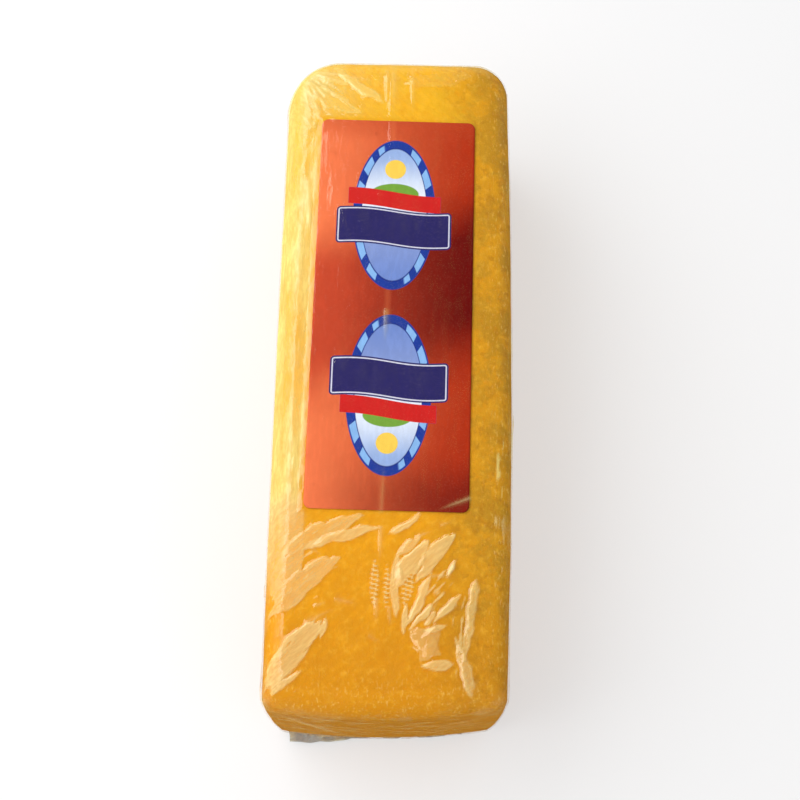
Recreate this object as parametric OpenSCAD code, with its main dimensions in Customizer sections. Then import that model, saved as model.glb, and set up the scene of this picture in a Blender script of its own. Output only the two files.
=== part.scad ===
// Loaf-shaped cheddar block, vacuum packed in a clear film bag with a paper label.
// X runs across the block, Y along it, Z up. The origin is the middle of the flat base.
// "near" is the -Y end, "far" the +Y end, "left" the -X side and "right" the +X side.

/* [Block] */
// Width across the block at its middle
block_w = 103; // [80:1:130]
// Length of the block along its middle
block_l = 296.5; // [220:0.5:380]
// Height from the base to the flat top
block_h = 95; // [70:1:120]
// How far the left side bows out between its ends
bow_left = 0.4; // [0:0.1:3]
// How far the right side bows out between its ends
bow_right = 2.4; // [0:0.1:3]
// How far the near end is crowned
crown_near = 4.2; // [0:0.1:6]
// How far the far end is crowned
crown_far = 0.6; // [0:0.1:6]
// How much further out the near end reaches on its left than on its right
skew_near = 2.8; // [0:0.1:4]
// How far the walls belly out at mid height
belly = 0.8; // [0:0.1:2]

/* [Rounded edges] */
// Width of the rounding along the top's left edge
edge_left = 9; // [6:0.5:14]
// Width of the rounding along the top's right edge
edge_right = 8; // [6:0.5:14]
// Width of the rounding along the top's near edge
edge_near = 14; // [6:0.5:20]
// Width of the rounding along the top's far edge
edge_far = 11; // [6:0.5:16]
// Depth of the rounding all round the top
edge_drop = 11; // [5:0.5:16]
// Radius of the rounding all round the base
edge_base = 9; // [5:0.5:11]

/* [Corners] */
// Radius of the walls' near left corner
corner_near_left = 5.6; // [3:0.1:30]
// Radius of the walls' near right corner
corner_near_right = 4.6; // [3:0.1:30]
// Radius of the walls' far right corner
corner_far_right = 15; // [3:0.1:30]
// Radius of the walls' far left corner
corner_far_left = 26; // [3:0.1:30]
// Radius that the corners reach at the flat top
corner_top = 6; // [3:0.5:12]
// Radius that the corners reach at the flat base
corner_base = 3; // [2:0.5:8]

/* [Label] */
// Distance from the block's left side to the label
label_from_left = 16.3; // [12:0.1:30]
// Distance from the block's right side to the label
label_from_right = 18.7; // [12:0.1:30]
// Distance from the block's near end to the label
label_from_near = 84.1; // [20:0.1:100]
// Distance from the block's far end to the label
label_from_far = 34.4; // [16:0.1:80]
// Thickness of the label
label_t = 0.3; // [0.2:0.1:1]
// Radius of the label's corners
label_corner = 3; // [1:0.5:8]
// How far the label is turned, anticlockwise from above
label_turn = -0.5; // [-2:0.5:2]

/* [Folded end seals] */
// Width of the welded strip folded under each end
seal_w = 78; // [40:1:90]
// How far the strip's middle lies to the left
seal_left = 5; // [0:0.5:8]
// Thickness of the crumpled strip
seal_t = 2.4; // [1:0.2:4]
// Height of the strip above the surface that the block lies on
seal_lift = 0.5; // [0.2:0.1:1]
// How far the near strip's hem reaches past the near end
hem_near = -1; // [-2:0.1:6]
// How far the near hem is turned, so that its left corner pokes out
hem_near_turn = 3.2; // [0:0.1:8]
// How far the far strip's hem reaches past the far end
hem_far = 0.4; // [-2:0.1:6]
// How far the far hem is turned the same way
hem_far_turn = 1; // [0:0.1:8]
// Depth of the crumples along each hem
crumple_depth = 0.5; // [0:0.1:1.5]
// Number of crumples along each hem
crumples = 6; // [2:1:12]

/* [Hidden] */

corner_steps = 9; // facets round each upright corner
side_steps = 13;  // facets along each long side
end_steps = 18;   // facets across each end
base_steps = 4;   // facets of the base's rounding above the seals
wall_steps = 4;   // facets up the walls
top_steps = 7;    // facets over the top's rounding
label_steps = 8;  // facets round each of the label's corners

// A ring is [height, left, right, near and far inset from the full outline, share of the way from
// the walls' corners to the flat face's, radius of that face's corners].
// The belly draws each ring in by the square of its distance from mid height.
function ring(z, left, right, near, far, share, flat) =
    let (in = belly * pow(2 * z / block_h - 1, 2))
    [z, left + in, right + in, near + in, far + in, share, flat];
function base_ring(z) =
    let (in = edge_base - sqrt(pow(edge_base, 2) - pow(edge_base - z, 2)))
    ring(z, in, in, in, in, in / edge_base, corner_base);
function wall_ring(share) =
    ring(edge_base + share * (block_h - edge_drop - edge_base), 0, 0, 0, 0, 0, 0);
function top_ring(a) =
    let (in = 1 - cos(a), z = block_h - edge_drop * (1 - sin(a)))
    ring(z, edge_left * in, edge_right * in, edge_near * in, edge_far * in, in, corner_top);

// Heights of the seals' two faces, and the base angle from which the rounding goes on up.
seal_low = seal_lift;
seal_high = seal_lift + seal_t;
seal_angle = asin(1 - seal_high / edge_base);
rings = concat(
    [base_ring(0), base_ring(seal_low), base_ring(seal_high)],
    [for (i = [1:base_steps - 1]) base_ring(edge_base * (1 - sin(seal_angle * (1 - i / base_steps))))],
    [for (i = [0:wall_steps]) wall_ring(i / wall_steps)],
    [for (i = [1:top_steps]) top_ring(90 * i / top_steps)]);

// One upright corner of a ring: [centre, radius, first angle]. Its radius runs from the walls' own
// to the flat face's.
function corner(g, sx, sy, r, bow, crown, in_x, in_y, first) =
    let (round = r + (g[6] - r) * g[5])
    [[sx * (block_w / 2 - bow - in_x - round), sy * (block_l / 2 - crown - in_y - round)], round, first];
function corners(g) = [
    corner(g, 1, -1, corner_near_right, bow_right, crown_near, g[2], g[3], 270),
    corner(g, 1, 1, corner_far_right, bow_right, crown_far, g[2], g[4], 0),
    corner(g, -1, 1, corner_far_left, bow_left, crown_far, g[1], g[4], 90),
    corner(g, -1, -1, corner_near_left, bow_left, crown_near, g[1], g[3], 180)];
function on_corner(c, a) = c[0] + c[1] * [cos(a), sin(a)];

// Bows the sides, crowns the ends and skews the near end of a point in plan.
function warped(p) =
    let (u = p[0] / (block_w / 2), v = p[1] / (block_l / 2))
    [p[0] + (u > 0 ? bow_right : bow_left) * u * (1 - v * v),
     p[1] + (v > 0 ? crown_far : crown_near) * v * (1 - u * u) + (v > 0 ? 0 : skew_near / 2 * u * v * v)];

// A seal's hem in plan: a turned straight line with shallow crumples.
function hem_reach(near, x) =
    let (turn = near ? hem_near_turn : hem_far_turn,
         crumple = crumple_depth / 2 * sin(360 * crumples * x / seal_w))
    block_l / 2 + (near ? hem_near : hem_far) - x * tan(turn) + crumple;
// Pushes a point of the ends out to the hem where the seal crosses it.
function sealed(p) =
    abs(p[0] + seal_left) > seal_w / 2 || abs(p[1]) < block_l / 4
        ? p
        : [p[0], sign(p[1]) * max(abs(p[1]), hem_reach(p[1] < 0, p[0]))];

// The closed outline of a ring: each corner's arc, then the straight run to the next corner.
function outline(g) =
    let (c = corners(g), seal_here = g[0] == seal_low || g[0] == seal_high)
    [for (i = [0:3])
        let (next = c[(i + 1) % 4],
             steps = i % 2 == 0 ? side_steps : end_steps,
             from = on_corner(c[i], c[i][2] + 90),
             to = on_corner(next, next[2]))
        for (p = concat(
            [for (k = [0:corner_steps - 1]) on_corner(c[i], c[i][2] + 90 * k / corner_steps)],
            [for (k = [0:steps - 1]) from + (to - from) * k / steps]))
        seal_here ? sealed(warped(p)) : warped(p)];

// Joins rings of equal length into one closed solid, capped at its base and its top.
module skin(loops) {
    n = len(loops[0]);
    last = len(loops) - 1;
    polyhedron(
        points = [for (loop = loops) each loop],
        faces = concat(
            [[for (k = [0:n - 1]) k]],
            [for (j = [0:last - 1], k = [0:n - 1], half = [0:1])
                let (a = j * n + k, b = j * n + (k + 1) % n)
                half == 0 ? [a, a + n, b] : [b, a + n, b + n]],
            [[for (k = [0:n - 1]) last * n + n - 1 - k]]),
        convexity = 4);
}

// Film bag drawn tight on the cheese, with its welded ends folded under.
module cheese_pack() color("orange")
    skin([for (g = rings) [for (p = outline(g)) [p[0], p[1], g[0]]]]);

// Rounded corner points of a rectangle about the origin, anticlockwise.
function rounded_rectangle(w, l, r) =
    [for (q = [0:3], k = [0:label_steps])
        let (a = 90 * (q + k / label_steps), sx = q == 0 || q == 3 ? 1 : -1, sy = q < 2 ? 1 : -1)
        [sx * (w / 2 - r) + r * cos(a), sy * (l / 2 - r) + r * sin(a)]];

// Paper label lying flat on the pack's top.
module label() color("orangered")
    translate([(label_from_left - label_from_right) / 2, (label_from_near - label_from_far) / 2, block_h])
    rotate(label_turn)
    linear_extrude(label_t)
    polygon(rounded_rectangle(
        block_w - label_from_left - label_from_right,
        block_l - label_from_near - label_from_far,
        label_corner));

cheese_pack();
label();
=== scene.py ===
"""A cheddar block in its clear vacuum bag, with a paper label under the film on its top."""

import math

import bpy
import numpy as np
from mathutils import Matrix, Vector


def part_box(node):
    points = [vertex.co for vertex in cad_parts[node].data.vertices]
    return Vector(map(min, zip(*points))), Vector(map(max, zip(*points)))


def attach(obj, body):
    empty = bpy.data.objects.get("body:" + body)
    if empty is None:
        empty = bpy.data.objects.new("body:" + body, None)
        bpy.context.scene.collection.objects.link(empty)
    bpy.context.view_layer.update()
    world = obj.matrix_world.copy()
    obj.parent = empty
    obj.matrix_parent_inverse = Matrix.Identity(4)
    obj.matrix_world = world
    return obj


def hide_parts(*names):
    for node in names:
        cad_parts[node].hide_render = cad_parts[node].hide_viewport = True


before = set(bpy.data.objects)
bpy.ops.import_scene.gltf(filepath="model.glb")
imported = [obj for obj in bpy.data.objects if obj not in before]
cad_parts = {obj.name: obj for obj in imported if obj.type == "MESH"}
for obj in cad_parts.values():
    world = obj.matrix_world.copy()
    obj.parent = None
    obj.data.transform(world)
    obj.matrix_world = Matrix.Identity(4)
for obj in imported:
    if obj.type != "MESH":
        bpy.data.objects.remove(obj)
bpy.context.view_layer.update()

MM = 0.001  # every size below is in millimetres, and meshes are written in metres

# ---------------------------------------------------------------- sizes of the block


def node_points(name):
    """A CAD node's points in millimetres."""
    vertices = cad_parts[name].data.vertices
    points = np.empty(3 * len(vertices))
    vertices.foreach_get("co", points)
    return points.reshape(-1, 3) / MM


pack_points = node_points("cheese_pack")
HEIGHT = pack_points[:, 2].max()
upper_half = pack_points[pack_points[:, 2] > HEIGHT / 2]
WIDTH, LENGTH = np.ptp(upper_half[:, 0]), np.ptp(upper_half[:, 1])

EDGE_LEFT, EDGE_RIGHT, EDGE_NEAR, EDGE_FAR = 9.0, 8.0, 14.0, 11.0  # widths of the top's rounding
EDGE_DROP, EDGE_BASE = 11.0, 9.0  # depth of the top's rounding, radius of the base's
CORNER = {(-1, -1): 5.6, (1, -1): 4.6, (1, 1): 15.0, (-1, 1): 26.0}  # the walls' corners, by side
CORNER_TOP, CORNER_BASE = 6.0, 3.0  # what the corners reach at the flat top and base
BOW_LEFT, BOW_RIGHT = 0.4, 2.4
CROWN_NEAR, CROWN_FAR, SKEW_NEAR, BELLY = 4.2, 0.6, 2.8, 0.8

label_low, label_high = (np.array(corner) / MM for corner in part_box("label"))
LABEL_TURN = math.radians(-0.5)
LABEL_MIDDLE = (label_low + label_high)[:2] / 2
LABEL_CORNER = 3.0
# The label's box is that of a turned rectangle, so its own sides come from two sums of that box.
span = (label_high - label_low)[:2]
turn_cos, turn_sin = math.cos(LABEL_TURN), abs(math.sin(LABEL_TURN))
LABEL_W = (span[0] * turn_cos - span[1] * turn_sin) / (turn_cos**2 - turn_sin**2)
LABEL_L = (span[1] * turn_cos - span[0] * turn_sin) / (turn_cos**2 - turn_sin**2)
LABEL_T = 0.25

CHEESE_INSET = 0.4  # the cheese lies this far inside the bag's outer face
FILM_GAP = 0.12  # the film lies this far outside that face
FILM_LOWEST = 0.03  # and no lower than this over what it rests on


# ---------------------------------------------------------------- fields and noise


def smooth(x, low, high):
    """Rises smoothly from 0 at low to 1 at high: t * t * (3 - 2 t)."""
    t = np.clip((x - low) / (high - low), 0, 1)
    return t * t * (3 - 2 * t)


def lattice(ix, iy, iz, seed):
    """A fixed scrambled number from -1 to 1 for each whole-number lattice point, by mixing its bits."""
    h = (ix * 374761393 + iy * 668265263 + iz * 1274126177 + seed * 974634777) & 0xFFFFFFFF
    h = ((h ^ (h >> 13)) * 1103515245) & 0xFFFFFFFF
    h = ((h ^ (h >> 16)) * 374761393) & 0xFFFFFFFF
    return (h & 0xFFFF) / 32767.5 - 1


def noise(points, cell, seed):
    """Smooth value noise: random lattice numbers, blended between the corners of cells of one size."""
    p = points / cell
    whole = np.floor(p).astype(np.int64)
    f = p - whole
    f = f * f * (3 - 2 * f)
    total = 0
    for corner in np.ndindex(2, 2, 2):
        share = np.ones(p.shape[:-1])
        for axis in range(3):
            share = share * (f[..., axis] if corner[axis] else 1 - f[..., axis])
        total = total + share * lattice(*(whole[..., a] + corner[a] for a in range(3)), seed)
    return total


def noise2(points, cell, seed):
    """Two octaves of the noise, the second half as wide and half as high."""
    return noise(points, cell, seed) + 0.5 * noise(points, cell / 2, seed + 1)


def leaf(x, y, start, end, width, bow=0.0):
    """How deep each point lies inside a leaf, in millimetres, negative outside it. With t from 0 to 1
    along its line and swell = 4 t (1 - t), the leaf's half width is width / 2 * swell ** 0.8 and its
    middle swings to the left of the line by bow * swell."""
    (ax, ay), (bx, by) = start, end
    length = math.hypot(bx - ax, by - ay)
    along = ((x - ax) * (bx - ax) + (y - ay) * (by - ay)) / length
    across = ((y - ay) * (bx - ax) - (x - ax) * (by - ay)) / length
    t = np.clip(along / length, 0, 1)
    swell = 4 * t * (1 - t)
    return np.minimum(width / 2 * swell**0.8 - abs(across - bow * swell), np.minimum(along, length - along))


def fold(points, start, end, width, height):
    """A crease from start, where it is full, to end, where it fades: a tent over the distance to the
    line between them, height * exp(-distance / width)."""
    a, b = np.array(start, float), np.array(end, float)
    along = b - a
    t = np.clip((points - a) @ along / (along @ along), 0, 1)
    distance = np.linalg.norm(points - a - t[..., None] * along, axis=-1)
    taper = smooth(t, 0, 0.06) * (1 - smooth(t, 0.35, 1))
    return height * taper * np.exp(-distance / (width * (1.2 - 0.7 * t)))


# ---------------------------------------------------------------- the block's form


def block_form(box_points):
    """Rounds a sharp box's surface into the block's.

    Each point lies on a rectangle about the box's middle. How far that is in from the box's edge and
    how high the point is up its wall give an angle round the edge, and so the inset and the corner
    radius of the ring it lands on. Its levels past the corner's centre give its direction round the
    corner. Last, the ends are crowned and the sides bowed. Gives the points and their outward
    directions."""
    x0, y0, z0 = (box_points[..., axis] for axis in range(3))
    sx, sy = np.where(x0 < 0, -1, 1), np.where(y0 < 0, -1, 1)
    upper = z0 > HEIGHT / 2
    edge_x = np.where(upper, np.where(sx < 0, EDGE_LEFT, EDGE_RIGHT), EDGE_BASE)
    edge_y = np.where(upper, np.where(sy < 0, EDGE_NEAR, EDGE_FAR), EDGE_BASE)
    bow, crown = np.where(sx < 0, BOW_LEFT, BOW_RIGHT), np.where(sy < 0, CROWN_NEAR, CROWN_FAR)
    depth = np.where(upper, EDGE_DROP, EDGE_BASE)
    wall_corner = np.zeros(x0.shape)
    for (qx, qy), radius in CORNER.items():
        wall_corner[(sx == qx) & (sy == qy)] = radius

    half_w, half_l = WIDTH / 2, LENGTH / 2
    inward = np.clip(np.minimum((half_w - abs(x0)) / edge_x, (half_l - abs(y0)) / edge_y), 0, 1)
    upward = np.clip((np.where(upper, z0 - HEIGHT, -z0) + depth) / depth, 0, 1)
    size = np.maximum(np.hypot(1 - inward, upward), 1e-9)
    cos_edge, sin_edge = (1 - inward) / size, upward / size
    share = 1 - cos_edge
    radius = wall_corner + (np.where(upper, CORNER_TOP, CORNER_BASE) - wall_corner) * share

    straight_x, straight_y = half_w - edge_x * inward - radius, half_l - edge_y * inward - radius
    level_x = np.clip((abs(x0) - straight_x) / radius, 0, 1)
    level_y = np.clip((abs(y0) - straight_y) / radius, 0, 1)
    level, length = np.maximum(level_x, level_y), np.maximum(np.hypot(level_x, level_y), 1e-9)
    cos_plan, sin_plan = level_x / length, level_y / length
    centre_x = half_w - bow - edge_x * share - radius
    centre_y = half_l - crown - edge_y * share - radius
    x = np.where(level_x > 0, centre_x + radius * level * cos_plan, abs(x0) / straight_x * centre_x)
    y = np.where(level_y > 0, centre_y + radius * level * sin_plan, abs(y0) / straight_y * centre_y)
    rise = depth * (1 - sin_edge)
    z = np.where(upward > 0, np.where(upper, HEIGHT - rise, rise), z0)

    belly = BELLY * (2 * z / HEIGHT - 1) ** 2
    x, y = sx * x * (1 - belly / half_w), sy * y * (1 - belly / half_l)
    u, v = x / half_w, y / half_l
    skew = np.where(v > 0, 0, SKEW_NEAR / 2 * u * v * v)
    points = np.stack([x + bow * u * (1 - v * v), y + crown * v * (1 - u * u) + skew, z], -1)

    across = cos_edge / np.maximum(edge_x * cos_plan**2 + edge_y * sin_plan**2, 1e-9)
    along = np.where(length > 1e-8, 1, 0)
    normals = np.stack([sx * cos_plan * across * along, sy * sin_plan * across * along,
                        np.where(upper, 1, -1) * sin_edge / depth], -1)
    return points, normals / np.linalg.norm(normals, axis=-1, keepdims=True)


def spaced(*stops):
    """Values from the first stop on, each later stop given as (value, step up to it)."""
    values = [np.array([stops[0]])]
    for value, step in stops[1:]:
        start = values[-1][-1]
        count = max(1, math.ceil(abs(value - start) / step))
        values.append(np.linspace(start, value, count + 1)[1:])
    return np.concatenate(values)


def box_loops(top_step, wall_step, base_step, stations, cap_rings):
    """A sharp box as closed loops round its width and height, one at each station of its length. At
    both ends the loops shrink to the middle of the end, where they close in a point."""
    top = spaced(-WIDTH / 2, (WIDTH / 2, top_step))
    wall = spaced(HEIGHT, (0, wall_step))
    base = spaced(WIDTH / 2, (-WIDTH / 2, base_step))
    loop = np.concatenate([
        np.stack([top, np.full(len(top), HEIGHT)], -1)[:-1],
        np.stack([np.full(len(wall), WIDTH / 2), wall], -1)[:-1],
        np.stack([base, np.zeros(len(base))], -1)[:-1],
        np.stack([np.full(len(wall), -WIDTH / 2), wall[::-1]], -1)[:-1]])
    middle = np.array([0, HEIGHT / 2])
    grow = np.linspace(0, 1, cap_rings + 1)[:-1]
    share = np.concatenate([grow, np.ones(len(stations)), grow[::-1]])
    along = np.concatenate([np.full(cap_rings, -LENGTH / 2), stations, np.full(cap_rings, LENGTH / 2)])
    section = middle + (loop - middle) * share[:, None, None]
    lengthwise = np.broadcast_to(along[:, None], section.shape[:2])
    return np.stack([section[..., 0], lengthwise, section[..., 1]], -1)


# ---------------------------------------------------------------- mesh pieces


def piece(name, loops, finish, slot, replaced, **attributes):
    """One closed mesh from loops (stations, points round, 3) in millimetres: four-sided faces between
    loops, and a fan at each end, where the first and last loop close in one point. Attributes are
    arrays with one number for each point. The piece rides on the pack and replaces a CAD node."""
    stations, around = loops.shape[:2]

    def flatten(values):
        rest = values.shape[2:]
        return np.concatenate([values[:1, 0], values[1:-1].reshape(-1, *rest), values[-1:, 0]])

    points = flatten(loops) * MM
    ring = 1 + np.arange((stations - 2) * around).reshape(stations - 2, around)
    nxt = np.roll(ring, -1, axis=1)
    quads = np.stack([ring[:-1], nxt[:-1], nxt[1:], ring[1:]], -1).reshape(-1, 4)
    first = np.stack([np.zeros(around, int), nxt[0], ring[0]], -1)
    last = np.stack([np.full(around, len(points) - 1), ring[-1], nxt[-1]], -1)
    mesh = bpy.data.meshes.new(name)
    mesh.from_pydata(points.tolist(), [], quads.tolist() + first.tolist() + last.tolist())
    mesh.polygons.foreach_set("use_smooth", np.ones(len(mesh.polygons), bool))
    for key, values in attributes.items():
        layer = mesh.attributes.new(key, "FLOAT", "POINT")
        layer.data.foreach_set("value", flatten(values[..., None]).ravel().astype(np.float32))
    mesh.materials.append(finish)
    obj = bpy.data.objects.new(name, mesh)
    bpy.context.scene.collection.objects.link(obj)
    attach(obj, "root")
    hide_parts(replaced)
    return obj


# ---------------------------------------------------------------- how the film lies

# Places on the top where the film doesn't cling to the cheese. Each is a leaf: start, end, greatest width,
# how far its middle bows to the left of its way, and how pale it is painted, partly the haze of loose film
# and partly a painted highlight where the film would mirror the light.
LOOSE = [
    ((-31, 141), (-6, 122), 5, 0, 0.9),
    ((-38, 137), (-23, 131), 4, 0, 0.8),
    ((-46, 134), (-17, 117), 9, -1, 0.7),
    ((-42, 130), (-42, 104), 13, 0, 0.7),
    ((2, 133), (32, 138), 8, 0, 0.22),
    ((-48, -108), (-21, -84), 10, 1, 0.7),
    ((-44, -106), (-42, -44), 18, 0, 0.7),
    ((-44, -84), (-12, -66), 8, 1, 0.7),
    ((-32, -80), (-3, -71), 5, 1, 0.95),
    ((-1, -75), (13, -65), 2.5, 0, 0.9),
    ((3, -83), (12, -75), 3, 0, 0.8),
    ((2, -97), (16, -77), 7, 1, 1.0),
    ((3, -108), (4, -80), 4.5, 1, 1.0),
    ((11, -94), (26, -73), 7.5, 1, 1.0),
    ((7, -112), (17, -89), 3.5, -1, 1.0),
    ((6, -114), (7, -102), 3, 0, 0.9),
    ((9, -113), (18, -102), 2.5, 0, 0.9),
    ((14, -111), (19, -105), 3, 0, 0.9),
    ((18, -110), (29, -98), 3, 0, 0.9),
    ((13, -113), (24, -111), 3, 0, 0.9),
    ((9, -113), (21, -122), 9, 0, 0.5),
    ((20, -111), (13, -125), 8, 0, 0.5),
    ((14, -127), (26, -126), 5, 0, 0.9),
    ((23, -91), (27, -85), 2, 0, 1.0),
    ((35, -91), (30, -126), 4, 0, 0.75),
    ((27, -114), (34, -140), 5, 0, 0.75),
    ((-49, -138), (-26, -109), 9, 1, 0.95),
    ((-46, -139), (-34, -130), 3, 0, 0.9),
    ((-27, -117), (-25, -109), 2.5, 0, 1.0),
]
# Rows of small ribs pressed into the film, each within a leaf: start, end and width.
RIBBED = [((-6, -84), (-6, -104), 4), ((-1, -86), (-1, -105), 3), ((9, -90), (6, -103), 5)]
RIB_SPACING, RIB_HEIGHT = 1.9, 0.3
FULL_CREASE = 0.45  # a crease this high gets the palest painted glint
# Where thin slivers of loose film lie between the larger ones, painted pale as haze and as thin painted
# highlights: their way in degrees, the middle of the place and how far it reaches across and along.
SLIVERS = [
    (48, (15, -90), (13, 20)),
    (33, (-32, -84), (14, 20)),
    (-42, (-32, 128), (15, 12)),
    (84, (30, -112), (6, 26)),
    (42, (-42, -132), (8, 12)),
    (88, (45, -60), (5, 60)),
]
# Single creases on the top, each from its sharp end to where it fades: start, end, width, height.
TOP_FOLDS = [
    ((-3, 147), (-3, 112), 1.5, 0.22),
    ((-6, 146), (-6, 118), 0.9, 0.25),
    ((5, 145), (6, 112), 0.8, 0.22),
    ((-4, 24), (-4, 7), 0.8, 0.24),
    ((-4, -66), (-3, -40), 0.5, 0.15),
    ((-4, -70), (-4, -88), 0.6, 0.30),
    ((-5, -100), (-5, -112), 0.6, 0.32),
    ((0, -103), (1, -113), 0.5, 0.30),
    ((33, -58), (18, -64), 0.5, 0.40),
    ((-34, -111), (-20, -104), 0.7, 0.22),
    ((-22, -101), (-11, -103), 0.7, 0.20),
    ((-32, -80), (-27, -84), 0.4, 0.26),
    ((-30, -104), (-24, -102), 0.4, 0.28),
    ((10, -75), (18, -72), 0.4, 0.34),
    ((20, -70), (25, -68), 0.4, 0.28),
    ((17, -91), (23, -90), 0.4, 0.34),
    ((23, -92), (28, -82), 0.5, 0.26),
    ((34, -138), (36, -131), 0.5, 0.30),
    ((-47, -144), (-38, -138), 0.6, 0.30),
    ((-48, 120), (-36, 108), 1.0, 0.25),
    ((-40, 85), (-37, 52), 0.9, 0.22),
    ((-48, 60), (-39, 30), 1.0, 0.20),
    ((-47, 22), (-40, -20), 1.0, 0.18),
    ((-8, -115), (-2, -119), 0.5, 0.16),
]
# The fan of creases that spreads from the far left corner over the top: its tip, the number of
# creases, the ways of the first and the last in degrees, and their middle length.
FAN_TIP, FAN_CREASES, FAN_FROM, FAN_TO, FAN_REACH = (-46, 139), 9, -84, -8, 34


def top_folds():
    """The top's single creases, and its fan, whose lengths vary by a quarter with a cosine."""
    folds = list(TOP_FOLDS)
    for k, way in enumerate(np.radians(np.linspace(FAN_FROM, FAN_TO, FAN_CREASES))):
        reach = FAN_REACH * (1 + 0.25 * math.cos(2.4 * k))
        end = (FAN_TIP[0] + reach * math.cos(way), FAN_TIP[1] + reach * math.sin(way))
        folds.append((FAN_TIP, end, 0.6, 0.3))
    return [((*start, HEIGHT), (*end, HEIGHT), width, height) for start, end, width, height in folds]


def corner_folds(rng):
    """Creases that spread from the block's eight corners over the faces that meet there."""
    folds = []
    for sx in (-1, 1):
        for sy in (-1, 1):
            for z in (HEIGHT - 4, 6):
                tip = np.array([sx * (WIDTH / 2 - 5), sy * (LENGTH / 2 - 6), z])
                inward = np.array([-sx, -sy, 1 if z < HEIGHT / 2 else -1])
                for _ in range(7):
                    face = rng.integers(0, 2)
                    reach = rng.uniform(16, 46)
                    angle = rng.uniform(0.1, 1.3)
                    step = np.zeros(3)
                    step[1 - face] = inward[1 - face] * math.cos(angle)
                    step[2] = inward[2] * math.sin(angle)
                    base = tip.copy()
                    base[face] = (sx, sy)[face] * (WIDTH, LENGTH)[face] / 2
                    folds.append((base, base + step * reach, rng.uniform(0.9, 1.6), rng.uniform(0.3, 0.65)))
    return folds


def wall_folds(rng):
    """Loose creases on the two long sides, most of them nearly level, and a few steep ones."""
    folds = []
    for sx in (-1, 1):
        for _ in range(16):
            y, z = rng.uniform(-LENGTH / 2 + 20, LENGTH / 2 - 20), rng.uniform(12, HEIGHT - 12)
            angle = rng.choice([rng.normal(0, 0.22), rng.normal(1.2, 0.3)], p=[0.7, 0.3])
            reach = rng.uniform(14, 48)
            start = np.array([sx * WIDTH / 2, y, z])
            end = start + np.array([0, math.cos(angle), math.sin(angle)]) * reach * rng.choice([-1, 1])
            folds.append((start, end, rng.uniform(0.8, 1.5), rng.uniform(0.3, 0.65)))
    return folds


def end_folds(rng):
    """Pleats on both ends: fine ones that fan up from the folded seal, and two long ones from the
    upper corners down to it."""
    folds = []
    for sy in (-1, 1):
        y = sy * LENGTH / 2
        for x in np.linspace(-38, 34, 13) + rng.uniform(-2, 2, 13):
            top = rng.uniform(12, 34)
            tip = (x * 0.8 + rng.uniform(-3, 3), y, top)
            folds.append(((x, y, 4), tip, rng.uniform(0.7, 1.2), rng.uniform(0.3, 0.6)))
        for sx in (-1, 1):
            folds.append(((sx * 41, y, 84), (sx * 14, y, 20), 1.5, 0.5))
            folds.append(((sx * 44, y, 60), (sx * 22, y, 12), 1.2, 0.35))
    return folds


def label_cover(x, y, margin):
    """1 over the label, falling to 0 within a margin outside it."""
    c, s = math.cos(LABEL_TURN), math.sin(LABEL_TURN)
    dx, dy = x - LABEL_MIDDLE[0], y - LABEL_MIDDLE[1]
    beyond = np.maximum(abs(dx * c + dy * s) - LABEL_W / 2, abs(dy * c - dx * s) - LABEL_L / 2)
    return 1 - smooth(beyond, 0, margin)


def top_swell(points):
    """Slow waves of whatever lies on the top, and the long crease along its middle, in millimetres."""
    x, y = points[..., 0], points[..., 1]
    waves = 0.05 * noise2(points * [1, 0.45, 0], 24, 11)
    line = -3.7 + 0.5 * np.sin(y / 31)
    crease = np.exp(-abs(x - line) / 1.3) * (0.03 + 0.10 * smooth(y, 90, 118) + 0.03 * smooth(-y, 40, 70))
    return waves + crease


def streaks(x, y, degrees, width, seed):
    """Noise drawn out six times along one direction, from about -1 to 1."""
    c, s = math.cos(math.radians(degrees)), math.sin(math.radians(degrees))
    return noise2(np.stack([(x * c + y * s) / 6, y * c - x * s, np.zeros(x.shape)], -1), width, seed)


def broad_haze_and_sheen(points, normals):
    """How pale the film is painted over broad stretches: the left margin, in slow clouds, the left rim, the
    far left corner, and the far end. At the left margin and rim this is mostly a painted highlight where the
    rounding would mirror the key light; at the corner and the far end it is the haze of bunched film. The
    largest of these counts, and long streaks vary it."""
    x, y = points[..., 0], points[..., 1]
    clouds = 0.45 + 0.55 * smooth(noise2(points * [1, 0.4, 0.5], 22, 63), -0.9, 0.2)
    wavering = x + 1.5 * noise(points * [1, 0.3, 0], 9, 65)
    margin = (1 - smooth(wavering, -39, -33)) * smooth(y, -92, -60) * clouds
    rim = (1 - smooth(x, -50, -42)) * smooth(y, -110, -70)
    corner = np.exp(-((np.hypot(x + 50, y - 142) / 32) ** 2))
    far_end = smooth(y, 136, 145)
    haze_and_sheen = np.max([1.15 * margin, 1.35 * rim, 1.1 * corner, 0.5 * far_end], axis=0)
    return haze_and_sheen * smooth(normals[..., 2], 0.1, 0.5) * (0.86 + 0.2 * streaks(x, y, 86, 1.8, 61))


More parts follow.
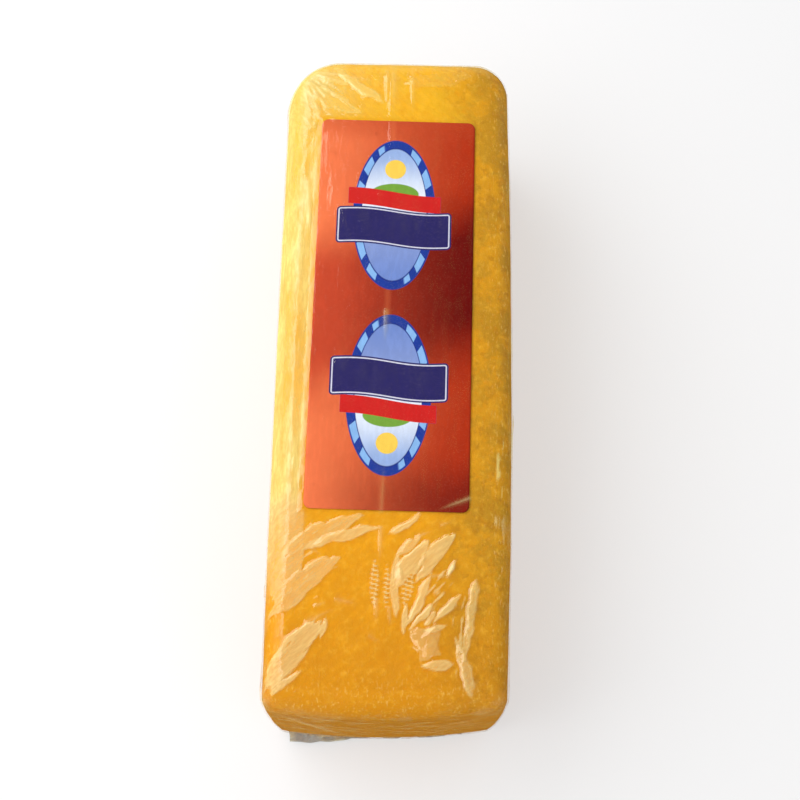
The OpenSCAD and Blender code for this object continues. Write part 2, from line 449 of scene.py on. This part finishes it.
def lay_leaves(points, normals, lift, haze_and_sheen):
    """Adds the loose leaves to the film's lift and to its painted paleness, partly haze and partly painted
    highlight, in place. Noise and the leaf's own streaks make its outline ragged. Its film rises from its
    left side over the first 3 mm, the steeper the further right the leaf lies, and is palest just inside its
    outline, a painted highlight along the rim."""
    x, y = points[..., 0], points[..., 1]
    for start, end, width, bow, strength in LOOSE:
        (left, low), (right, high) = np.minimum(start, end), np.maximum(start, end)
        near_x, near_y = (x > left - width) & (x < right + width), (y > low - width) & (y < high + width)
        here = (normals[..., 2] > 0.4) & near_x & near_y
        px, py, flat = x[here], y[here], points[here]
        way = math.degrees(math.atan2(end[1] - start[1], end[0] - start[0]))
        band = streaks(px, py, way, 1.5, 67)
        ragged = [0.8 * noise2(flat, 4, seed) for seed in (3, 5)]
        depth = leaf(px + ragged[0], py + ragged[1], start, end, width, bow)
        depth = depth + 0.12 * width * band
        mask = smooth(depth, -0.3, 0.5) * smooth(normals[here][:, 2], 0.4, 0.75)
        slope = math.tan(math.radians(2.5 + max(0, (left + right + 76) / 18)))
        lift[here] += mask * (0.08 + slope * np.clip(px - left, 0, 3) + 0.025 * band)
        # The last term paints a highlight just inside the leaf's outline.
        strong = strength * (0.84 + 0.14 * band + 0.22 * np.exp(-(((depth - 0.6) / 0.5) ** 2)))
        haze_and_sheen[here] = np.maximum(haze_and_sheen[here], mask * np.clip(strong, 0.1, 1.3))


def film_lie(points, normals):
    """How far the film stands off the bag's smooth outer face. With it go four shares from 0 up: how milky
    the film is, haze and painted highlight together, how creased, which the finish paints as pale glints,
    how slack on the walls, and how worn over the rounded edges."""
    x, y = points[..., 0], points[..., 1]
    on_top = smooth(normals[..., 2], 0.55, 0.9)
    lift = top_swell(points) * on_top
    haze_and_sheen = broad_haze_and_sheen(points, normals)
    lay_leaves(points, normals, lift, haze_and_sheen)
    for degrees, (cx, cy), (reach_x, reach_y) in SLIVERS:
        zone = np.exp(-(((x - cx) / reach_x) ** 2) - ((y - cy) / reach_y) ** 2)
        sliver = smooth(streaks(x, y, degrees, 1.1, 71) * zone, 0.4, 0.7) * on_top
        lift = lift + 0.06 * sliver
        haze_and_sheen = np.maximum(haze_and_sheen, 0.85 * sliver)
    for start, end, width in RIBBED:
        mask = smooth(leaf(x, y, start, end, width), -0.3, 0.8) * on_top
        wave = np.sin(2 * math.pi * (y + 0.3 * x) / RIB_SPACING)
        lift = lift + mask * RIB_HEIGHT * wave
        # The ribs' crests are painted pale: a painted glint on each rib.
        haze_and_sheen = haze_and_sheen * (1 - mask) + mask * 1.25 * smooth(wave, -0.1, 0.5)
    creased = np.zeros(x.shape)
    rng = np.random.default_rng(7)
    for start, end, width, height in top_folds() + corner_folds(rng) + wall_folds(rng) + end_folds(rng):
        ridge = fold(points, start, end, width, height)
        lift = lift + ridge
        # Crease heights go to the finish, which paints them as pale glints.
        creased = np.maximum(creased, ridge / FULL_CREASE)
    cover = label_cover(x, y, 2.5) * on_top
    lift = lift + cover * (LABEL_T + 0.12)
    lift = lift + 0.05 * noise2(points, 7, 21) + 0.04 * noise(points * [1, 0.3, 1], 2.4, 23)
    slack = 1 - smooth(normals[..., 2], 0.25, 0.8)
    worn = (1 - smooth(normals[..., 2], 0.96, 0.9995)) * (1 - slack)
    creased = np.clip(creased, 0, 1)
    return lift, {"loose": haze_and_sheen * (1 - cover), "creased": creased, "slack": slack, "worn": worn}


# ---------------------------------------------------------------- node trees


class Sums:
    """Writes a node tree as sums: every call adds one node and gives back its output."""

    def __init__(self, tree):
        self.tree = tree

    def add(self, kind, output=0, settings=None, **inputs):
        node = self.tree.nodes.new(kind)
        for key, value in (settings or {}).items():
            setattr(node, key, value)
        for key, value in inputs.items():
            self.feed(node.inputs[int(key[1:]) if key[0] == "_" else key.replace("_", " ")], value)
        return node.outputs[output]

    def feed(self, socket, value):
        if isinstance(value, bpy.types.NodeSocket):
            self.tree.links.new(value, socket)
        else:
            socket.default_value = value

    def math(self, operation, a, b=0.0, c=0.0, clamp=False):
        settings = {"operation": operation, "use_clamp": clamp}
        return self.add("ShaderNodeMath", 0, settings, _0=a, _1=b, _2=c)

    def times(self, a, b):
        return self.math("MULTIPLY", a, b)

    def plus(self, a, b, clamp=False):
        return self.math("ADD", a, b, clamp=clamp)

    def less(self, a, b):
        return self.math("SUBTRACT", a, b)

    def linear(self, value, factor, offset):
        return self.math("MULTIPLY_ADD", value, factor, offset)

    def most(self, a, b):
        return self.math("MAXIMUM", a, b)

    def size(self, value):
        return self.math("ABSOLUTE", value)

    def hypot(self, a, b):
        return self.math("SQRT", self.plus(self.math("POWER", a, 2.0), self.math("POWER", b, 2.0)))

    def mix(self, share, a, b):
        return self.add("ShaderNodeMix", 2, {"data_type": "RGBA"}, _0=share, _6=a, _7=b)

    def rise(self, value, low, high):
        settings = {"interpolation_type": "SMOOTHSTEP"}
        return self.add("ShaderNodeMapRange", settings=settings, Value=value, From_Min=low, From_Max=high)

    def noise(self, vector, scale, detail=2.0, roughness=0.5):
        return self.add("ShaderNodeTexNoise", 0, None, Vector=vector, Scale=scale, Detail=detail,
                        Roughness=roughness)

    def place(self, centre=(0, 0, 0), turn=0.0, scale=(1, 1, 1)):
        """The piece's own coordinates in millimetres, about a centre, turned and stretched."""
        coordinates = self.add("ShaderNodeTexCoord", 3)
        settings = {"vector_type": "TEXTURE"}
        location = [c * MM for c in centre]
        return self.add("ShaderNodeMapping", 0, settings, Vector=coordinates, Location=location,
                        Rotation=(0, 0, turn), Scale=[MM / s for s in scale])

    def axes(self, vector):
        node = self.tree.nodes.new("ShaderNodeSeparateXYZ")
        self.tree.links.new(vector, node.inputs[0])
        return node.outputs[0], node.outputs[1], node.outputs[2]


def colour(red, green, blue):
    """A colour from its screen values of 0 to 255, as the linear values that nodes take."""
    screen = np.array([red, green, blue]) / 255
    linear = np.where(screen <= 0.04045, screen / 12.92, ((screen + 0.055) / 1.055) ** 2.4)
    return (*linear.tolist(), 1.0)


def group(name, inputs, outputs):
    """An empty node group with named sockets, as its tree, its sums, and what is given and wanted."""
    tree = bpy.data.node_groups.new(name, "ShaderNodeTree")
    for socket, kind in inputs:
        tree.interface.new_socket(name=socket, in_out="INPUT", socket_type=kind)
    for socket, kind in outputs:
        tree.interface.new_socket(name=socket, in_out="OUTPUT", socket_type=kind)
    given, wanted = tree.nodes.new("NodeGroupInput"), tree.nodes.new("NodeGroupOutput")
    return tree, Sums(tree), given.outputs, wanted.inputs


def material(name):
    """A new material with an empty node tree, and its sums."""
    made = bpy.data.materials.new(name)
    made.use_nodes = True
    made.node_tree.nodes.clear()
    return made, Sums(made.node_tree)


def finish_material(sums, shader):
    sums.feed(sums.tree.nodes.new("ShaderNodeOutputMaterial").inputs[0], shader)


# ---------------------------------------------------------------- finishes


def crinkle_group():
    """Fine crinkles of stretched film, drawn out one way at the near end, another at the far end and
    along the block between: a bump of the given depth, a mask of its crests and thin streaks."""
    tree, sums, given, wanted = group(
        "crinkle",
        [("Near", "NodeSocketVector"), ("Middle", "NodeSocketVector"), ("Far", "NodeSocketVector"),
         ("Along", "NodeSocketFloat"), ("Depth", "NodeSocketFloat"), ("Grain", "NodeSocketFloat")],
        [("Normal", "NodeSocketVector"), ("Crests", "NodeSocketFloat"), ("Streaks", "NodeSocketFloat")])
    heights = []
    for way in ("Near", "Middle", "Far"):
        wide = sums.noise(given[way], given["Grain"], 2.0)
        fine = sums.noise(given[way], sums.times(given["Grain"], 3.7), 3.0, 0.6)
        heights.append((wide, fine))
    near, far = sums.rise(given["Along"], -58.0, -66.0), sums.rise(given["Along"], 104.0, 116.0)

    def blend(part):
        height = sums.add("ShaderNodeMix", 0, None, _0=near, _2=heights[1][part], _3=heights[0][part])
        return sums.add("ShaderNodeMix", 0, None, _0=far, _2=height, _3=heights[2][part])

    fine = blend(1)
    height = sums.plus(blend(0), sums.times(fine, 0.35))
    normal = sums.add("ShaderNodeBump", 0, None, Strength=1.0, Distance=given["Depth"], Height=height)
    sums.feed(wanted["Normal"], normal)
    sums.feed(wanted["Crests"], sums.rise(height, 0.62, 0.92))
    sums.feed(wanted["Streaks"], sums.rise(fine, 0.38, 0.62))
    return tree


CRINKLE = crinkle_group()


def crinkle(sums, depth, grain):
    """The crinkle group placed in a material: its normal, its crests and its streaks."""
    node = sums.tree.nodes.new("ShaderNodeGroup")
    node.node_tree = CRINKLE
    given = {
        "Near": sums.place(turn=math.radians(-48), scale=(1, 0.2, 1)),
        "Middle": sums.place(scale=(1, 0.25, 1)),
        "Far": sums.place(turn=math.radians(48), scale=(1, 0.2, 1)),
        "Along": sums.axes(sums.place())[1],
        "Depth": depth,
        "Grain": grain,
    }
    for socket, value in given.items():
        sums.feed(node.inputs[socket], value)
    return node.outputs["Normal"], node.outputs["Crests"], node.outputs["Streaks"]


def cheese_material():
    """Orange-gold cheese: slow mottling, yellower to the far end and darker at the near end, darker to the
    right of the top as painted shade where the key light falls off, curd marbling both paler and deeper,
    blotches at the top's right, whitish specks in long grain where the film rubs at the rims, and a soft
    glow within."""
    made, sums = material("cheddar")
    at = sums.place()
    x, y, z = sums.axes(at)
    slow = sums.noise(at, 0.03, 3.0, 0.55)
    curd = sums.noise(at, 0.33, 5.0, 0.68)
    fine = sums.noise(sums.place(scale=(1, 0.4, 0.6)), 0.95, 4.0, 0.7)
    length = sums.rise(sums.linear(slow, 60.0, y), -100.0, 160.0)
    top = sums.rise(z, HEIGHT - 14, HEIGHT - 4)
    length = sums.times(length, sums.linear(top, 0.5, 0.5))
    body = sums.mix(length, colour(229, 155, 22), colour(238, 180, 34))
    # Painted shade: the top darkens to the right, where the key light falls off.
    right = sums.times(sums.rise(sums.linear(slow, 16.0, x), 18.0, 50.0), top)
    body = sums.mix(right, body, colour(190, 138, 33))
    cloud = sums.times(sums.rise(sums.noise(at, 0.09, 4.0, 0.6), 0.42, 0.6), 0.4)
    body = sums.mix(cloud, body, colour(240, 166, 22))
    body = sums.mix(sums.times(sums.rise(y, -80.0, -145.0), 0.6), body, colour(208, 136, 22))
    body = sums.mix(sums.times(sums.rise(curd, 0.50, 0.70), 0.26), body, colour(250, 196, 66))
    body = sums.mix(sums.times(sums.rise(curd, 0.48, 0.30), 0.26), body, colour(220, 132, 8))
    blotch = sums.times(sums.rise(sums.noise(at, 0.26, 3.0, 0.6), 0.54, 0.66), right)
    body = sums.mix(sums.times(blotch, 0.5), body, colour(180, 118, 24))
    reach_x = sums.rise(sums.size(x), WIDTH * 0.33, WIDTH * 0.47)
    reach_y = sums.rise(sums.size(y), LENGTH * 0.42, LENGTH * 0.48)
    rim = sums.most(reach_x, reach_y)
    rim = sums.times(rim, sums.linear(top, 0.22, 0.14))
    specks = sums.times(sums.rise(fine, 0.55, 0.66), sums.plus(rim, 0.05))
    body = sums.mix(specks, body, colour(248, 208, 112))
    roughness = sums.linear(curd, 0.2, 0.42)
    height = sums.plus(sums.times(curd, 0.6), sums.times(fine, 0.3))
    normal = sums.add("ShaderNodeBump", 0, None, Strength=0.8, Distance=0.0006, Height=height)
    shader = sums.add("ShaderNodeBsdfPrincipled", 0, None, Base_Color=body, Roughness=roughness,
                      Normal=normal, Subsurface_Weight=0.1, Subsurface_Radius=(1.0, 0.45, 0.1),
                      Subsurface_Scale=0.003, Specular_IOR_Level=0.06)
    finish_material(sums, shader)
    return made


def film_material(name, haze_sheen_amount, haze_sheen_colour, near_haze_sheen_colour, grain, depth, wall_depth):
    """Clear film: what is behind it shows through, and its two faces mirror the lights by their angle and in
    thin streaks, less so where they are worn. Where it is loose it turns milky, partly as real haze and
    partly as a painted highlight in a diffuse cream, in a colour of its own at the near end, and painted
    glints make creases and crests paler still."""
    made, sums = material(name)
    loose, creased, slack, worn = (
        sums.add("ShaderNodeAttribute", 2, {"attribute_name": key})
        for key in ("loose", "creased", "slack", "worn"))
    normal, crest_sheen, fine_streaks = crinkle(sums, sums.linear(slack, wall_depth - depth, depth), grain)
    share = sums.linear(fine_streaks, 0.26, 0.83)
    # The milky diffuse layer is partly haze of loose film and partly a painted highlight standing in for the
    # film mirroring the light.
    haze_and_sheen = sums.times(sums.times(loose, haze_sheen_amount), share)
    haze_and_sheen = sums.plus(haze_and_sheen, sums.times(creased, sums.linear(slack, 0.12, 0.36)))
    # Painted sheen: crinkle crests are painted pale, most of all on the walls.
    haze_and_sheen = sums.plus(haze_and_sheen, sums.times(crest_sheen, sums.linear(slack, 0.22, 0.01)), clamp=True)
    tone = sums.mix(sums.rise(sums.axes(sums.place())[1], -54.0, -66.0), haze_sheen_colour, near_haze_sheen_colour)
    # Painted glints: creases are painted whiter.
    tone = sums.mix(sums.times(creased, 0.5), tone, colour(255, 248, 208))
    clear = sums.add("ShaderNodeBsdfTransparent", 0, None, Color=(1, 1, 1, 1))
    haze_sheen_shader = sums.add("ShaderNodeBsdfDiffuse", 0, None, Color=tone, Normal=normal)
    sheet = sums.add("ShaderNodeMixShader", 0, None, _0=haze_and_sheen, _1=clear, _2=haze_sheen_shader)
    gloss = sums.add("ShaderNodeBsdfGlossy", 0, None, Color=(1, 0.96, 0.82, 1), Normal=normal,
                     Roughness=sums.linear(worn, 0.28, 0.05))
    fresnel = sums.add("ShaderNodeFresnel", 0, None, IOR=1.5, Normal=normal)
    ceiling = sums.times(sums.linear(fine_streaks, 0.075, 0.035), sums.linear(worn, -0.75, 1.0))
    mirrored = sums.math("MINIMUM", sums.times(fresnel, 1.9), ceiling)
    finish_material(sums, sums.add("ShaderNodeMixShader", 0, None, _0=mirrored, _1=sheet, _2=gloss))
    return made


def medallion_group():
    """A plain oval medallion, about its own centre in millimetres: a dashed blue ring round a pale sky
    over blue, a green mound and a yellow disc, a bare red ribbon, and a bare navy plaque with a pale
    rule. Gives the ink and where it lies."""
    tree, sums, given, wanted = group(
        "medallion",
        [("Vector", "NodeSocketVector")],
        [("Ink", "NodeSocketColor"), ("Cover", "NodeSocketFloat")])
    x, y, _ = sums.axes(given["Vector"])
    soft = 0.15  # half the width over which an edge of the print fades

    def within(distance):
        """1 where a signed distance is below zero."""
        return sums.rise(distance, soft, -soft)

    def ellipse(half_x, half_y, rise=0.0):
        """About the distance outside an ellipse: its level less one, times its smaller half."""
        level_x = sums.math("DIVIDE", x, half_x)
        level_y = sums.math("DIVIDE", sums.less(y, rise), half_y)
        level = sums.hypot(level_x, level_y)
        return sums.times(sums.less(level, 1.0), min(half_x, half_y))

    def band(half_w, half_h, rise, slant, swing, radius):
        """Distance outside a rounded rectangle whose middle line slants and swings like a wave."""
        wave = sums.times(sums.math("SINE", sums.times(x, 0.125)), -swing)
        line = sums.plus(sums.linear(x, -slant, rise), wave)
        dx = sums.less(sums.size(x), half_w - radius)
        dy = sums.less(sums.size(sums.less(y, line)), half_h - radius)
        out_x, out_y = sums.most(dx, 0.0), sums.most(dy, 0.0)
        round_off = sums.hypot(out_x, out_y)
        inner = sums.math("MINIMUM", sums.most(dx, dy), 0.0)
        return sums.less(sums.plus(round_off, inner), radius)

    half_w, half_h, ring = 18.0, 35.6, 3.6
    outer, field = ellipse(half_w, half_h), ellipse(half_w - ring, half_h - ring)
    turn = sums.math("ARCTAN2", sums.math("DIVIDE", y, half_h), sums.math("DIVIDE", x, half_w))
    dash = sums.rise(sums.math("SINE", sums.times(turn, 14.0)), -0.38, -0.22)
    rail = within(sums.less(sums.size(sums.less(outer, -1.95)), 1.4))
    dash = sums.times(dash, sums.rise(sums.size(sums.math("COSINE", turn)), 0.28, 0.34))
    ink = sums.mix(sums.times(rail, dash), colour(32, 60, 150), colour(136, 182, 232))
    sky = sums.mix(sums.rise(y, 8.0, 30.0), colour(226, 234, 246), colour(150, 176, 222))
    water = sums.mix(sums.rise(y, -32.0, -12.0), colour(112, 138, 202), colour(132, 152, 206))
    inner = sums.mix(sums.rise(y, -2.0, 2.0), water, sky)
    inner = sums.mix(within(ellipse(10.5, 5.0, 9.5)), inner, colour(118, 164, 62))
    inner = sums.mix(within(ellipse(4.6, 4.6, 21.5)), inner, colour(244, 204, 84))
    inner = sums.mix(within(sums.less(sums.size(field), 0.3)), inner, colour(30, 50, 130))
    ink = sums.mix(within(field), ink, inner)
    ribbon = band(20.2, 3.9, 6.6, 0.075, 0.7, 0.4)
    plaque = band(25.0, 8.7, -6.6, 0.035, 0.9, 1.8)
    ink = sums.mix(within(ribbon), ink, colour(205, 36, 34))
    ink = sums.mix(within(plaque), ink, colour(44, 40, 98))
    rule = sums.less(sums.size(sums.plus(plaque, 0.95)), 0.28)
    ink = sums.mix(within(rule), ink, colour(214, 214, 230))
    sums.feed(wanted["Ink"], ink)
    cover = sums.most(within(outer), sums.most(within(ribbon), within(plaque)))
    sums.feed(wanted["Cover"], cover)
    return tree


# Where the two medallions lie on the label, and how each is turned.
MEDALLIONS = [((-0.7, 43.7), 0.0), ((-0.6, -38.9), math.pi)]


def label_material():
    """Printed paper: orange-red whose pale left holds a painted highlight, painted shade that darkens it to
    maroon about the middle and to the right, darker in a band at the far end, a paler line along the film's
    crease that is a painted sheen, faint stains, and two plain medallions."""
    made, sums = material("label_print_and_shade")
    c, s = math.cos(LABEL_TURN), math.sin(LABEL_TURN)
    at = sums.place(centre=(*LABEL_MIDDLE, 0), turn=LABEL_TURN)
    x, y, _ = sums.axes(at)
    blur = sums.linear(sums.noise(at, 0.04, 3.0), 16.0, -8.0)
    slanted = sums.plus(sums.linear(x, -0.3, y), sums.plus(blur, -10.0))
    middle = sums.times(sums.rise(slanted, 43.0, 12.0), sums.rise(slanted, -56.0, -20.0))
    # Painted light: the ground runs from a pale orange on the left, holding a painted highlight, to a dark
    # red on the right, painted shade; the maroon about the middle is painted shade too.
    shade_to_right = sums.rise(sums.plus(x, blur), -46.0, 36.0)
    ground = sums.mix(shade_to_right, colour(242, 124, 76), colour(176, 48, 17))
    shaded_ink = sums.mix(shade_to_right, colour(202, 74, 44), colour(104, 5, 3))
    ink = sums.mix(middle, ground, shaded_ink)
    # Painted shade, deepest at the near right.
    near = sums.times(sums.rise(sums.plus(y, blur), -58.0, -86.0), shade_to_right)
    ink = sums.mix(sums.times(near, 0.85), ink, colour(120, 24, 14))
    ink = sums.mix(sums.times(sums.rise(y, 76.0, 90.0), 0.5), ink, colour(190, 70, 36))
    # A painted sheen: a paler line along the crease of the film over the label.
    crease = sums.times(sums.rise(sums.size(sums.plus(x, 2.3)), 2.2, 0.0), 0.12)
    ink = sums.mix(crease, ink, colour(255, 150, 90))
    stains = sums.times(sums.rise(sums.noise(at, 0.16, 4.0, 0.65), 0.62, 0.74), 0.18)
    ink = sums.mix(stains, ink, colour(140, 40, 26))
    emblem = medallion_group()
    for (dx, dy), turn in MEDALLIONS:
        centre = (LABEL_MIDDLE[0] + dx * c - dy * s, LABEL_MIDDLE[1] + dx * s + dy * c, 0)
        node = sums.tree.nodes.new("ShaderNodeGroup")
        node.node_tree = emblem
        sums.feed(node.inputs["Vector"], sums.place(centre=centre, turn=turn + LABEL_TURN))
        ink = sums.mix(node.outputs["Cover"], ink, node.outputs["Ink"])
    fibre = sums.noise(at, 2.2, 4.0, 0.7)
    ink = sums.mix(sums.times(sums.rise(fibre, 0.5, 0.75), 0.05), ink, colour(255, 220, 190))
    normal = sums.add("ShaderNodeBump", 0, None, Strength=0.25, Distance=0.0001, Height=fibre)
    shader = sums.add("ShaderNodeBsdfPrincipled", 0, None, Base_Color=ink, Roughness=0.5, Normal=normal,
                      Specular_IOR_Level=0.03)
    finish_material(sums, shader)
    return made


def floor_material():
    """Pale to the camera, more evenly so away from the pack, and darker to the light that it throws
    back on the pack."""
    made, sums = material("pale_floor")
    seen, mirrored = sums.add("ShaderNodeLightPath", 0), sums.add("ShaderNodeLightPath", 3)
    tone = sums.mix(mirrored, (0.55, 0.54, 0.52, 1), (0.12, 0.11, 0.09, 1))
    tone = sums.mix(seen, tone, (0.93, 0.93, 0.93, 1))
    away = sums.add("ShaderNodeVectorMath", 1, {"operation": "LENGTH"}, _0=sums.place())
    even = sums.times(seen, sums.linear(sums.rise(away, 140.0, 600.0), 0.5, 0.5))
    matt = sums.add("ShaderNodeBsdfDiffuse", 0, None, Color=tone)
    glow = sums.add("ShaderNodeEmission", 0, None, Color=(0.93, 0.93, 0.93, 1), Strength=1.0)
    finish_material(sums, sums.add("ShaderNodeMixShader", 0, None, _0=even, _1=matt, _2=glow))
    return made


# ---------------------------------------------------------------- the pieces


def make_cheese():
    """The block's form, set inside the film, with shallow dents from slow noise."""
    stations = spaced(-LENGTH / 2, (LENGTH / 2, 2.2))
    points, normals = block_form(box_loops(1.8, 3.0, 4.0, stations, 14))
    dents = 0.12 * noise2(points, 26, 31) + 0.05 * noise(points, 6, 33)
    return piece("cheese", points + normals * (dents - CHEESE_INSET)[..., None], cheese_material(), "cheese",
                 "cheese_pack")


def make_film():
    """The block's form again, outside the cheese, lifted by the film's creases and loose places."""
    stations = spaced(-LENGTH / 2, (-56, 0.62), (106, 1.9), (LENGTH / 2, 0.75))
    points, normals = block_form(box_loops(0.6, 2.5, 4.0, stations, 24))
    lift, state = film_lie(points, normals)
    clear_film = film_material(
        "clear_film", haze_sheen_amount=0.54, haze_sheen_colour=colour(255, 240, 142), near_haze_sheen_colour=colour(255, 228, 150),
        grain=0.2, depth=0.00014, wall_depth=0.0014)
    points = points + normals * (FILM_GAP + np.maximum(lift, -0.1))[..., None]
    points[..., 2] = np.maximum(points[..., 2], FILM_LOWEST)
    return piece("film_bag", points, clear_film, "film", "cheese_pack", **state)


def make_label():
    """A thin sheet: loops across its width, over its top and back under, one at each station of its
    length, drawn in at the ends by the circle of its corners."""
    columns = 71
    half_l, half_w = LABEL_L / 2, LABEL_W / 2
    rounding = LABEL_CORNER * (1 - np.cos(np.linspace(0, math.pi / 2, 7)))[:-1]
    straight = np.linspace(-half_l + LABEL_CORNER, half_l - LABEL_CORNER, 120)
    along = np.concatenate([-half_l + rounding, straight, half_l - rounding[::-1]])
    past = np.clip(abs(along) - half_l + LABEL_CORNER, 0, LABEL_CORNER)
    half = half_w - LABEL_CORNER + np.sqrt(LABEL_CORNER**2 - past**2)
    across = np.linspace(-1, 1, columns)
    share = np.concatenate([across, across[::-1]])
    upper = np.concatenate([np.ones(columns), np.zeros(columns)])
    along = np.concatenate([along[:1], along, along[-1:]])
    half = np.concatenate([[0], half, [0]])
    x = share * half[:, None]
    y = np.broadcast_to(along[:, None], x.shape)
    c, s = math.cos(LABEL_TURN), math.sin(LABEL_TURN)
    placed = (LABEL_MIDDLE[0] + x * c - y * s, LABEL_MIDDLE[1] + x * s + y * c, np.zeros(x.shape))
    points = np.stack(placed, -1)
    points[..., 2] = HEIGHT + 0.02 + 0.85 * top_swell(points) + LABEL_T * upper
    points[0], points[-1] = points[0].mean(0), points[-1].mean(0)
    return piece("label_sheet", points, label_material(), "label", "label")


# The folded seals: the side of the block, how far the hem reaches past the end, and its turn.
SEALS = {"near": (-1, -1.0, math.radians(3.2)), "far": (1, 0.4, math.radians(1.0))}
SEAL_LEFT, SEAL_RIGHT, SEAL_DEPTH, SEAL_T = -44.0, 34.0, 17.0, 0.5
SEAL_STATIONS, SEAL_ROWS = 150, 22  # points across the block, and from root to hem


def make_seal(end, seal_film):
    """A welded strip folded under one end: a thin loop from its root to its hem and back, carried
    across the block, crumpled by noise that grows towards the hem and its left corner."""
    side, out, turn = SEALS[end]
    across = np.linspace(SEAL_LEFT, SEAL_RIGHT, SEAL_STATIONS)
    depth = np.linspace(0, 1, SEAL_ROWS)
    share = np.concatenate([depth, depth[::-1]])
    face = np.concatenate([np.full(SEAL_ROWS, 0.5), np.full(SEAL_ROWS, -0.5)])
    x = np.broadcast_to(across[:, None], (SEAL_STATIONS, 2 * SEAL_ROWS))
    hem = LENGTH / 2 + out - across * math.tan(turn)
    ragged = 0.8 * noise(np.stack([across, across * 0, across * 0 + 40 * side], -1), 5.0, 41)
    ear = np.exp(-(((across + 36) / 13) ** 2))
    reach = (hem + ragged - 0.8 + 1.2 * ear)[:, None] - SEAL_DEPTH * (1 - share)
    flat = np.stack([x, reach * side, np.zeros(x.shape)], -1)
    grow = share**1.5
    crumple = noise2(flat * [1, 0.5, 1], 5.5, 43) * (0.5 + 0.9 * ear[:, None]) + 0.35 * noise(flat, 1.9, 45)
    z = 1.1 + grow * (0.9 + 1.6 * ear[:, None] + 1.1 * crumple) + face * SEAL_T
    x = x + grow * 0.9 * noise(flat, 4, 47)
    loops = np.stack([x, side * reach, np.maximum(z, 0.15 + 0.3 * (face > 0))], -1)
    if side > 0:
        loops = loops[::-1]
    loops = np.concatenate([loops[:1], loops, loops[-1:]])
    loops[0], loops[-1] = loops[0].mean(0), loops[-1].mean(0)
    none = np.zeros(loops.shape[:2])
    # The crumple's height is painted as pale glints by the finish.
    creased = np.clip(1.6 * np.concatenate([crumple[:1], crumple, crumple[-1:]]), 0, 1)
    return piece(f"end_seal_{end}", loops[:, ::-1], seal_film, "film", "cheese_pack",
                 loose=none + 0.75, creased=creased, slack=none, worn=none)


make_cheese()
make_label()
make_film()
seal_grey = colour(176, 172, 158)
crumpled_film = film_material("crumpled_film", haze_sheen_amount=0.8, haze_sheen_colour=seal_grey, near_haze_sheen_colour=seal_grey,
                              grain=0.5, depth=0.0012, wall_depth=0.0012)
for end in SEALS:
    make_seal(end, crumpled_film)

# ---------------------------------------------------------------- floor, lights and camera


def make_floor():
    """A square floor of one face, level with the base, which reaches 4 m each way."""
    mesh = bpy.data.meshes.new("floor")
    reach = 4.0
    corners = [(-reach, -reach, 0), (reach, -reach, 0), (reach, reach, 0), (-reach, reach, 0)]
    mesh.from_pydata(corners, [], [(0, 1, 2, 3)])
    mesh.materials.append(floor_material())
    floor = bpy.data.objects.new("floor", mesh)
    bpy.context.scene.collection.objects.link(floor)


# Each light's place, aim and size in metres, and its power in watts.
SOFTBOXES = {
    "key": ((-0.42, 0.10, 0.60), (0, 0.0, 0.09), (1.1, 0.60), 5.3),
    "near_right": ((0.95, -1.05, 0.40), (0, 0, 0.05), (1.4, 0.9), 4.6),
    "far_right": ((1.0, 1.05, 0.40), (0, 0, 0.05), (1.4, 0.9), 3.0),
    "far_left": ((-1.05, 1.1, 0.40), (0, 0, 0.05), (1.4, 0.9), 3.0),
    "near_left": ((-0.95, -1.15, 0.40), (0, 0, 0.05), (1.4, 0.9), 3.0),
}


def softbox(name, place, aim, size, watts):
    """A rectangular light at a place in metres, turned to face its aim."""
    light = bpy.data.lights.new(name, "AREA")
    light.shape = "RECTANGLE"
    light.size, light.size_y = size
    light.energy = watts
    obj = bpy.data.objects.new(name, light)
    obj.location = place
    obj.rotation_euler = (Vector(aim) - Vector(place)).to_track_quat("-Z", "Y").to_euler()
    obj.visible_camera = False
    bpy.context.scene.collection.objects.link(obj)


def make_world():
    """A soft even light for what the softboxes miss, and a pale backdrop for the camera."""
    world = bpy.data.worlds.new("studio")
    bpy.context.scene.world = world
    world.use_nodes = True
    sums = Sums(world.node_tree)
    world.node_tree.nodes.clear()
    seen = sums.add("ShaderNodeLightPath", 0)
    mirrored = sums.add("ShaderNodeLightPath", 3)
    tone = sums.mix(mirrored, (0.52, 0.52, 0.53, 1), (0.03, 0.03, 0.03, 1))
    tone = sums.mix(seen, tone, (0.96, 0.96, 0.96, 1))
    sky = sums.add("ShaderNodeBackground", 0, None, Color=tone, Strength=1.0)
    sums.feed(world.node_tree.nodes.new("ShaderNodeOutputWorld").inputs[0], sky)


def make_camera():
    """The camera looks down on the top at 72 degrees from the near end, rolled a little."""
    elevation, roll, lens, sensor = math.radians(72), math.radians(1.23), 67.05, 36.0
    aim, distance = Vector((0.00278, -0.01654, HEIGHT * MM)), 0.6234
    ahead = Vector((0, math.cos(elevation), -math.sin(elevation)))
    up = Vector((0, math.sin(elevation), math.cos(elevation)))
    right = Vector((1, 0, 0))
    rolled_right = right * math.cos(roll) + up * math.sin(roll)
    rolled_up = up * math.cos(roll) - right * math.sin(roll)
    data = bpy.data.cameras.new("camera")
    data.lens, data.sensor_width, data.clip_start = lens, sensor, 0.01
    camera = bpy.data.objects.new("camera", data)
    turn = Matrix((rolled_right, rolled_up, -ahead)).transposed()
    camera.matrix_world = Matrix.Translation(aim - ahead * distance) @ turn.to_4x4()
    bpy.context.scene.collection.objects.link(camera)
    bpy.context.scene.camera = camera


make_floor()
make_world()
make_camera()
for name, box in SOFTBOXES.items():
    softbox(name, *box)
bpy.context.scene.view_settings.view_transform = "Standard"
bpy.context.scene.view_settings.look = "None"
